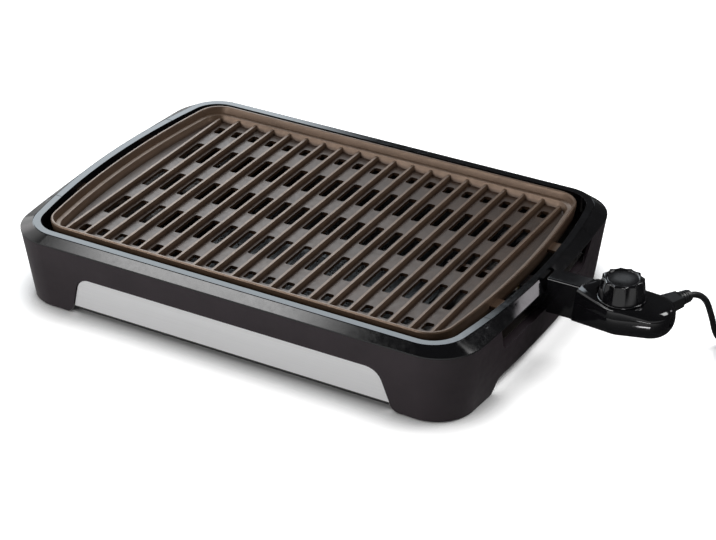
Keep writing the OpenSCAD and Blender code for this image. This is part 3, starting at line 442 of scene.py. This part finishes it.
# %% [markdown]
# Each piece that shows gets a radius of its own in millimetres, as its drawing would give: small on
# pressed sheet, larger on mouldings and on the cast plate.

# %% Pieces that show
SHARP = 32     # degrees; an edge that turns more gets rounded
SAME_PLACE, SAME_PLANE = 2e-6, math.radians(0.4)


def softened(name, edge_mm):
    """A piece with the node's own shape and rounded edges, standing for it."""
    mesh = nodes[name].data.copy()
    grid = bmesh.new()
    grid.from_mesh(mesh)
    bmesh.ops.remove_doubles(grid, verts=grid.verts, dist=SAME_PLACE)
    bmesh.ops.dissolve_limit(grid, angle_limit=SAME_PLANE, verts=grid.verts, edges=grid.edges)
    bmesh.ops.connect_verts_concave(grid, faces=grid.faces)
    for face in grid.faces:
        face.smooth = True
    grid.to_mesh(mesh)
    grid.free()
    piece = bpy.data.objects.new(name + "_finished", mesh)
    scene.collection.objects.link(piece)
    rounded(piece, edge_mm, SHARP).miter_outer = "MITER_ARC"
    level_shading(piece)
    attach(piece, nodes[name]["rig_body"])
    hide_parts(name)


edges_mm = {
    "base_housing": 0.5, "base_cover": 0.4, "bezel_front": 0.5, "bezel_rear": 0.5, "heat_shield": 0.15,
    "grill_plate": 0.5, "handle_left": 0.6, "handle_right": 0.6, "drip_tray": 0.3, "tray_front": 0.5,
    "front_panel": 0.25, "strain_relief": 0.3, "rubber_feet": 0.5,
    "plug_body": 0.8, "plug_blades": 0.2, "cord_tie": 0.3}
for name, edge_mm in edges_mm.items():
    softened(name, edge_mm)
print("softened:", len(edges_mm), "pieces")

# %% [markdown]
# The probe's housing is a glossy egg in plan, moulded as two shells. Gloss shows every facet, so
# these pieces are built afresh with far finer rounds than the CAD needs. Each form is the tight skin
# over a few rounded discs, like a sheet stretched over them, which is how such a housing is drawn.

# %% Numbers of the probe, in mm
DIAL = Vector((331.9, 0, 0))
TAIL = Vector((357.9, 6.5, 0))
PART_Z, FOOT_Z, BLOCK_TOP, SEAT_Z = 70, 47.6, 86, 80.2
SEAM_X, SEAM_LEAN, SEAM_SLANT, SEAM_GAP = 290.7, 0.16, 0.3, 0.1
BLOCK_START, BLOCK_HALF, SHOULDER_R, SHOULDER_STEPS = 259.9, 11, 3.4, 8
DIAL_END_R, TAIL_END_R, STEM_X, SEAT_R = 26, 24.5, 280.6, 24.4
TURN_Z = PART_Z - 5     # where the lower shell starts to turn in towards its foot
print("probe: dial at", tuple(DIAL), "mm, top of the block at", BLOCK_TOP, "mm")

# %% [markdown]
# The housing's forms are all made of two things: round discs whose edge turns in like the side of a
# pebble, and straight bars for the stem towards the block.

# %% Discs and bars
RING_POINTS, BELLY_STEPS = 120, 9


def ring_at(centre, r, z):
    turns = [2 * math.pi * i / RING_POINTS for i in range(RING_POINTS)]
    return [(centre.x + r * math.cos(t), centre.y + r * math.sin(t), z) for t in turns]


def belly(centre, r, z, height, turn_in):
    """A disc from the parting line to z, whose edge then turns in over a height as a quarter ellipse."""
    points = ring_at(centre, r, PART_Z)
    for k in range(BELLY_STEPS + 1):
        a = math.pi / 2 * k / BELLY_STEPS
        points += ring_at(centre, r - turn_in * (1 - math.cos(a)), z + height * math.sin(a))
    return points


def bar(x0, x1, half, z0, z1):
    """The corners of a block from x0 to x1 and z0 to z1, as far to each side of the middle."""
    return [(x, y, z) for x in (x0, x1) for y in (-half, half) for z in (z0, z1)]


print("discs:", RING_POINTS, "points round")

# %% [markdown]
# The tight skin over a set of points is their convex hull. It could be modelled by hand, but a hull
# needs no topology and has no dents. The skin is then cut off at the slanted seam to the block.

# %% The skin
def skin_over(grid, points):
    """Adds the tight skin over the points to the grid, cut off at the slanted seam to the block."""
    own = bmesh.new()
    for point in points:
        own.verts.new(Vector(point) * MM)
    bmesh.ops.convex_hull(own, input=own.verts)
    bmesh.ops.delete(own, geom=[g for g in own.verts if not g.link_faces], context="VERTS")
    cut = [*own.verts, *own.edges, *own.faces]
    seam = Vector((-1, SEAM_SLANT, SEAM_LEAN)).normalized()
    through = Vector((SEAM_X + SEAM_GAP, 0, FOOT_Z)) * MM
    edge = bmesh.ops.bisect_plane(own, geom=cut, dist=1e-7, plane_co=through, plane_no=seam, clear_outer=True)
    rim = [g for g in edge["geom_cut"] if isinstance(g, bmesh.types.BMEdge)]
    if rim:
        bmesh.ops.edgeloop_fill(own, edges=rim)
    bmesh.ops.recalc_face_normals(own, faces=own.faces)
    mesh = bpy.data.meshes.new("form")
    own.to_mesh(mesh)
    own.free()
    grid.from_mesh(mesh)
    bpy.data.meshes.remove(mesh)


def finished(name, grid, body, edge_mm=0.0, angle=SHARP):
    """Turns a grid of faces into a smooth piece that stands for the CAD node of its name."""
    mesh = bpy.data.meshes.new(name + "_finished")
    for face in grid.faces:
        face.smooth = True
    grid.to_mesh(mesh)
    grid.free()
    mesh.materials.append(finishes[slot_of[name]])
    piece = bpy.data.objects.new(name + "_finished", mesh)
    scene.collection.objects.link(piece)
    if edge_mm:
        rounded(piece, edge_mm, angle)
    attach(piece, body)
    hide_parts(name)
    return piece

# %% [markdown]
# The lower shell is one skin over the stem and two discs that turn in towards the foot, one under
# the dial and one at the tail.

# %% Lower shell
lower = bmesh.new()
belly_dial = belly(DIAL, DIAL_END_R, TURN_Z, FOOT_Z - TURN_Z, 14)
belly_tail = belly(TAIL, TAIL_END_R, TURN_Z, FOOT_Z - TURN_Z, 13.5)
skin_over(lower, bar(STEM_X, 292.6, BLOCK_HALF, FOOT_Z, PART_Z) + belly_dial + belly_tail)
SHELL_EDGE, SHELL_SHARP = 0.6, 50     # mm, degrees
finished("probe_lower_shell", lower, "probe", SHELL_EDGE, SHELL_SHARP)
print("lower shell:", len(belly_dial) + len(belly_tail), "points under the skin")

# %% [markdown]
# The upper shell takes two skins, one from the stem's rounded shoulders to the dial and one from
# the dial to the tail, because the whole of it is not convex where the two meet.

# %% Upper shell
upper = bmesh.new()
crown_dial = belly(DIAL, DIAL_END_R, PART_Z + 4, SEAT_Z - PART_Z - 4, 2.2)
crown_tail = belly(TAIL, TAIL_END_R, PART_Z + 1, 7.5, 10)
SHOULDER_X, SHOULDER_TURN = 298.6, 2
shoulders = bar(STEM_X, SHOULDER_X, BLOCK_HALF, PART_Z, BLOCK_TOP - SHOULDER_R)
for k in range(1, SHOULDER_STEPS + 1):
    a = math.pi / 2 * k / SHOULDER_STEPS
    half = BLOCK_HALF - SHOULDER_R * (1 - math.cos(a))
    top = BLOCK_TOP - SHOULDER_R * (1 - math.sin(a))
    shoulders += bar(STEM_X, SHOULDER_X - SHOULDER_TURN * math.sin(a), half, PART_Z, top)
skin_over(upper, shoulders + crown_dial)
skin_over(upper, crown_dial + crown_tail)
upper_shell = finished("probe_upper_shell", upper, "probe")
print("upper shell:", len(upper_shell.data.polygons), "faces before the seat is cut")

# %% [markdown]
# The dial sits in a round recess. A boolean cut with a cylinder makes it, as a cutter would, and
# the cut is applied before the bevel so that the recess's edge gets rounded too.

# %% The dial's seat
CUTTER_H = 20
seat_grid = bmesh.new()
bmesh.ops.create_cone(seat_grid, cap_ends=True, segments=128, radius1=SEAT_R * MM, radius2=SEAT_R * MM,
                      depth=CUTTER_H * MM)
cutter_at = (DIAL + Vector((0, 0, SEAT_Z + CUTTER_H / 2))) * MM
bmesh.ops.translate(seat_grid, vec=cutter_at, verts=seat_grid.verts)
seat_mesh = bpy.data.meshes.new("dial_seat")
seat_grid.to_mesh(seat_mesh)
seat_grid.free()
seat = bpy.data.objects.new("dial_seat", seat_mesh)
scene.collection.objects.link(seat)
sink = upper_shell.modifiers.new("dial_seat", "BOOLEAN")
sink.object, sink.solver, sink.use_self = seat, "EXACT", True
bpy.context.view_layer.update()
shaped = bpy.data.meshes.new_from_object(upper_shell.evaluated_get(bpy.context.evaluated_depsgraph_get()))
upper_shell.modifiers.clear()
upper_shell.data = shaped
bpy.data.objects.remove(seat)
rounded(upper_shell, SHELL_EDGE, SHELL_SHARP)
print("upper shell:", len(shaped.polygons), "faces")

# %% [markdown]
# The block carries the contacts under the plate. It is one outline with eased corners, drawn at its
# plain end and joined to the slanted outline at the seam.

# %% Block
block = bmesh.new()
right_half = [(9.5, FOOT_Z), (BLOCK_HALF, FOOT_Z + 1.5), (BLOCK_HALF, BLOCK_TOP - 2.4),
              (10.7, BLOCK_TOP - 1.2), (10, BLOCK_TOP - 0.4), (8.8, BLOCK_TOP)]
outline = right_half + [(-y, z) for y, z in reversed(right_half)]
outline = outline[-2:] + outline[:-2]
ends = [[block.verts.new(Vector((BLOCK_START, y, z)) * MM) for y, z in outline],
        [block.verts.new(Vector((SEAM_X + SEAM_LEAN * (z - FOOT_Z) + SEAM_SLANT * y, y, z)) * MM)
         for y, z in outline]]
for i in range(len(outline)):
    j = (i + 1) % len(outline)
    block.faces.new((ends[0][i], ends[0][j], ends[1][j], ends[1][i]))
block.faces.new(ends[0][::-1])
block.faces.new(ends[1])
bmesh.ops.recalc_face_normals(block, faces=block.faces)
level_shading(finished("probe_block", block, "probe", 0.7, 24))
print("block: seam leans", SEAM_LEAN, "and slants", SEAM_SLANT)

# %% [markdown]
# The dial is a turned shape with twelve broad finger flutes that get deeper towards the top, so its
# upper edge reads as a scalloped ring round a sunken disc. It is made by turning a section round the
# dial's axis while each flute pulls the radius in.

# %% Dial
FLUTES, AROUND = 12, 288


def turned(name, section):
    """A piece turned round the dial's axis; section is a list of (radius, height, flute depth) in mm."""
    grid = bmesh.new()
    rings = []
    for r, z, depth in section:
        ring = []
        for i in range(AROUND):
            t = 2 * math.pi * i / AROUND
            across = (t * FLUTES / (2 * math.pi)) % 1 - 0.5
            pull = depth * math.cos(math.pi * across) ** 0.8 if depth else 0
            corner = Vector(((r - pull) * math.cos(t), (r - pull) * math.sin(t), z))
            ring.append(grid.verts.new((DIAL + corner) * MM))
        rings.append(ring)
    for low, high in zip(rings, rings[1:]):
        for i in range(AROUND):
            j = (i + 1) % AROUND
            grid.faces.new((low[i], low[j], high[j], high[i]))
    grid.faces.new(rings[0][::-1])
    grid.faces.new(rings[-1])
    bmesh.ops.recalc_face_normals(grid, faces=grid.faces)
    level_shading(finished(name, grid, "dial"))


KNOB_Z, KNOB_TOP, SIDE_STEPS = 82.4, 101.4, 8
knob_section = [(22.3, KNOB_Z, 0.2), (22.5, KNOB_Z + 0.3, 0.2)]
for k in range(1, SIDE_STEPS + 1):
    up = k / SIDE_STEPS
    knob_section.append((22.5 - 1.8 * up, KNOB_Z + 0.3 + 16 * up, 0.2 + 2.1 * up))
knob_section += [(20.6, KNOB_TOP - 1.7, 2.3), (20.3, KNOB_TOP - 1.0, 2.25), (19.8, KNOB_TOP - 0.45, 2.1),
                 (19.1, KNOB_TOP - 0.12, 1.8), (18.3, KNOB_TOP, 1.4), (16.4, KNOB_TOP, 0.2),
                 (15.6, KNOB_TOP, 0), (15.2, KNOB_TOP - 0.15, 0), (15.0, KNOB_TOP - 0.5, 0),
                 (15.0, KNOB_TOP - 1.6, 0)]
turned("dial_knob", knob_section)
turned("dial_cap", [(14.9, KNOB_TOP - 1.55, 0), (14.9, KNOB_TOP - 0.95, 0), (14.7, KNOB_TOP - 0.8, 0),
                    (14.3, KNOB_TOP - 0.75, 0), (9, KNOB_TOP - 0.6, 0), (4, KNOB_TOP - 0.55, 0),
                    (0.5, KNOB_TOP - 0.55, 0)])
turned("dial_skirt", [(22.9, 80.6, 0), (23.5, 80.75, 0), (23.7, 81.1, 0), (23.7, 81.8, 0), (23.5, 82.2, 0),
                      (23.0, 82.35, 0), (22.4, 82.38, 0)])
print("dial:", FLUTES, "flutes")

# %% [markdown]
# Where the lead leaves the probe is printed, in metres.

print("lead: leaves the probe at", [round(x, 3) for x in cord_points[0]])

# %% [markdown]
# The grill stands on a plain white sweep. To the camera the floor glows, so that it reads white
# without more light on the grill, and it darkens where the grill closes off the sky, which is the
# tight shadow that a piece standing in soft light has. Glossy rays don't see that white: they see a
# dark table that is lit towards the front and the left, so that the black parts keep their depth.

# %% Floor
floor_mesh = bpy.data.meshes.new("floor")
REACH = 6
floor_corners = [(-REACH, -REACH, 0), (REACH, -REACH, 0), (REACH, REACH, 0), (-REACH, REACH, 0)]
floor_mesh.from_pydata(floor_corners, [], [(0, 1, 2, 3)])
floor = bpy.data.objects.new("floor", floor_mesh)
scene.collection.objects.link(floor)
print("floor:", 2 * REACH, "m wide")

# %% [markdown]
# The paint is three things in one: a matt white for the light, a glow that only the camera sees,
# and what glossy rays meet. The Light Path node tells the rays apart.

# %% Floor paint
floor_paint = bpy.data.materials.new("floor_paint")
floor_paint.use_nodes = True
tree = floor_paint.node_tree


def ranged(tree, value, from_min, from_max, to_min, to_max, smooth=False):
    """The value's range, spread over another, evenly or easing in and out."""
    node = tree.nodes.new("ShaderNodeMapRange")
    node.interpolation_type = "SMOOTHSTEP" if smooth else "LINEAR"
    limits = {"From Min": from_min, "From Max": from_max, "To Min": to_min, "To Max": to_max}
    for name, number in limits.items():
        node.inputs[name].default_value = number
    tree.links.new(value, node.inputs["Value"])
    return node.outputs["Result"]


def product(tree, first, second):
    node = tree.nodes.new("ShaderNodeMath")
    node.operation = "MULTIPLY"
    tree.links.new(first, node.inputs[0])
    tree.links.new(second, node.inputs[1])
    return node.outputs[0]


matt = tree.nodes["Principled BSDF"]
matt.inputs["Base Color"].default_value = (0.60, 0.60, 0.60, 1)
matt.inputs["Roughness"].default_value = 0.9
matt.inputs["Specular IOR Level"].default_value = 0.1
ray = tree.nodes.new("ShaderNodeLightPath")
place = tree.nodes.new("ShaderNodeSeparateXYZ")
tree.links.new(tree.nodes.new("ShaderNodeTexCoord").outputs["Object"], place.inputs[0])
dark = tree.nodes.new("ShaderNodeEmission")
towards = tree.nodes.new("ShaderNodeMath")
towards.operation = "MAXIMUM"
tree.links.new(ranged(tree, place.outputs["Y"], -0.40, 0.0, 0.90, 0.05, True), towards.inputs[0])
tree.links.new(ranged(tree, place.outputs["X"], -0.30, 0.1, 0.40, 0.05, True), towards.inputs[1])
tree.links.new(towards.outputs[0], dark.inputs["Strength"])
mirrored = tree.nodes.new("ShaderNodeMixShader")
tree.links.new(ray.outputs["Is Glossy Ray"], mirrored.inputs["Fac"])
tree.links.new(matt.outputs[0], mirrored.inputs[1])
tree.links.new(dark.outputs[0], mirrored.inputs[2])
sky = tree.nodes.new("ShaderNodeAmbientOcclusion")
sky.samples = 12
sky.inputs["Distance"].default_value = 0.045
open_sky = ranged(tree, sky.outputs["AO"], 0.48, 0.92, 0.0, 0.97)
glow = tree.nodes.new("ShaderNodeEmission")
tree.links.new(product(tree, ray.outputs["Is Camera Ray"], open_sky), glow.inputs["Strength"])
both = tree.nodes.new("ShaderNodeAddShader")
tree.links.new(mirrored.outputs[0], both.inputs[0])
tree.links.new(glow.outputs[0], both.inputs[1])
tree.links.new(both.outputs[0], tree.nodes["Material Output"].inputs["Surface"])
floor_mesh.materials.append(floor_paint)
print("floor paint:", len(tree.nodes), "nodes")

# %% [markdown]
# The light is a soft studio: a surround at a low level, six soft panels, and two small cards for
# the probe alone. A panel is brightest in its middle and fades towards its edges, so its
# reflections end softly. Glossy rays see a dark surround that brightens on the left, at -X.

# %% Surround
world = bpy.data.worlds.new("studio")
scene.world = world
world.use_nodes = True
tree = world.node_tree
surround = tree.nodes["Background"]
surround.inputs["Color"].default_value = (1, 1, 1, 1)
ray = tree.nodes.new("ShaderNodeLightPath")
heading = tree.nodes.new("ShaderNodeSeparateXYZ")
tree.links.new(tree.nodes.new("ShaderNodeTexCoord").outputs["Generated"], heading.inputs[0])
mirrored_sky = ranged(tree, heading.outputs["X"], -0.45, -0.88, 0.05, 1.4, True)
levels = tree.nodes.new("ShaderNodeMix")
levels.inputs[2].default_value = 0.22
tree.links.new(ray.outputs["Is Glossy Ray"], levels.inputs[0])
tree.links.new(mirrored_sky, levels.inputs[3])
seen = tree.nodes.new("ShaderNodeMix")
seen.inputs[3].default_value = 1.0
tree.links.new(ray.outputs["Is Camera Ray"], seen.inputs[0])
tree.links.new(levels.outputs[0], seen.inputs[2])
tree.links.new(seen.outputs[0], surround.inputs["Strength"])
print("surround:", world.name)

# %% [markdown]
# Each lamp is a rectangle that aims at a point of the grill. A node on the lamp fades it towards
# its edges. The sizes and places were chosen for the reflections that they make on the glossy
# frame.

# %% Lamps
def panel_lamp(name, at, aim, along, size, radiance, tint=(1, 1, 1), *, fade):
    """A soft panel whose width runs along a direction; past the fade it falls off to its edges."""
    lamp = bpy.data.lights.new(name, "AREA")
    lamp.shape = "RECTANGLE"
    lamp.size, lamp.size_y = size
    lamp.energy = radiance * math.pi * size[0] * size[1]
    lamp.color = tint
    lamp.use_nodes = True
    tree = lamp.node_tree
    across = tree.nodes.new("ShaderNodeSeparateXYZ")
    tree.links.new(tree.nodes.new("ShaderNodeNewGeometry").outputs["Parametric"], across.inputs[0])
    fades = []
    for axis in ("X", "Y"):
        off = tree.nodes.new("ShaderNodeMath")
        off.operation = "PINGPONG"
        off.inputs[1].default_value = 0.5
        tree.links.new(across.outputs[axis], off.inputs[0])
        fades.append(ranged(tree, off.outputs[0], 0, max((1 - fade) / 2, 1e-3), 0, 1, True))
    tree.links.new(product(tree, *fades), tree.nodes["Emission"].inputs["Strength"])
    holder = bpy.data.objects.new(name, lamp)
    back = (Vector(at) - Vector(aim)).normalized()
    width = (Vector(along) - back * back.dot(Vector(along))).normalized()
    aimed = Matrix((width, back.cross(width), back)).transposed()
    holder.matrix_world = Matrix.Translation(at) @ aimed.to_4x4()
    scene.collection.objects.link(holder)
    return holder


# Each lamp: name, place, point it aims at, direction of its width, width and height, radiance.
panel_lamp("key_panel", (-0.95, -0.955, 1.55), (-0.06, -0.17, 0.08), (0.63, -0.07, 0.13),
           (0.66, 0.6), 9, fade=0.35)
panel_lamp("front_panel_lamp", (-0.9, -2.2, 0.9), (0, 0, 0), (0.93, -0.38, 0),
           (2.0, 0.8), 5.5, fade=0.7)
panel_lamp("rear_left_panel", (-0.842, 0.978, 0.962), (0, 0, 0.08), (0.49, 0.71, -0.49),
           (0.9, 1.25), 4.2, tint=(0.84, 0.93, 1), fade=0.75)
panel_lamp("rear_right_panel", (1.15, 1.37, 0.88), (0.256, -0.08, 0.08), (0, 1, 0),
           (0.27, 0.35), 3.8, tint=(1, 0.95, 1), fade=0.6)
panel_lamp("right_panel", (0.98, 0.55, 1.08), (0.36, 0, 0.07), (0.5, -0.2, -0.3),
           (0.75, 0.5), 11, fade=0.6)
panel_lamp("dial_card", (-0.231, 1.44, 0.991), (0.332, 0, 0.1), (1, 0, 0),
           (0.16, 0.2), 0.7, tint=(0.9, 0.95, 1), fade=0.4)
low_card = panel_lamp("low_card", (0.396, -0.101, 0.012), (0.366, -0.017, 0.065), (0.8, 0.28, 0),
                      (0.04, 0.014), 18, fade=0.7)
low_card.visible_camera = False
panel_lamp("left_panel", (-1.8, 0.5, 0.7), (-0.24, -0.1, 0.07), (0, 1, 0),
           (1.2, 0.7), 0.8, tint=(1, 0.93, 0.95), fade=0.3)
print("lamps:", len(bpy.data.lights))
scene.view_settings.view_transform = "Standard"
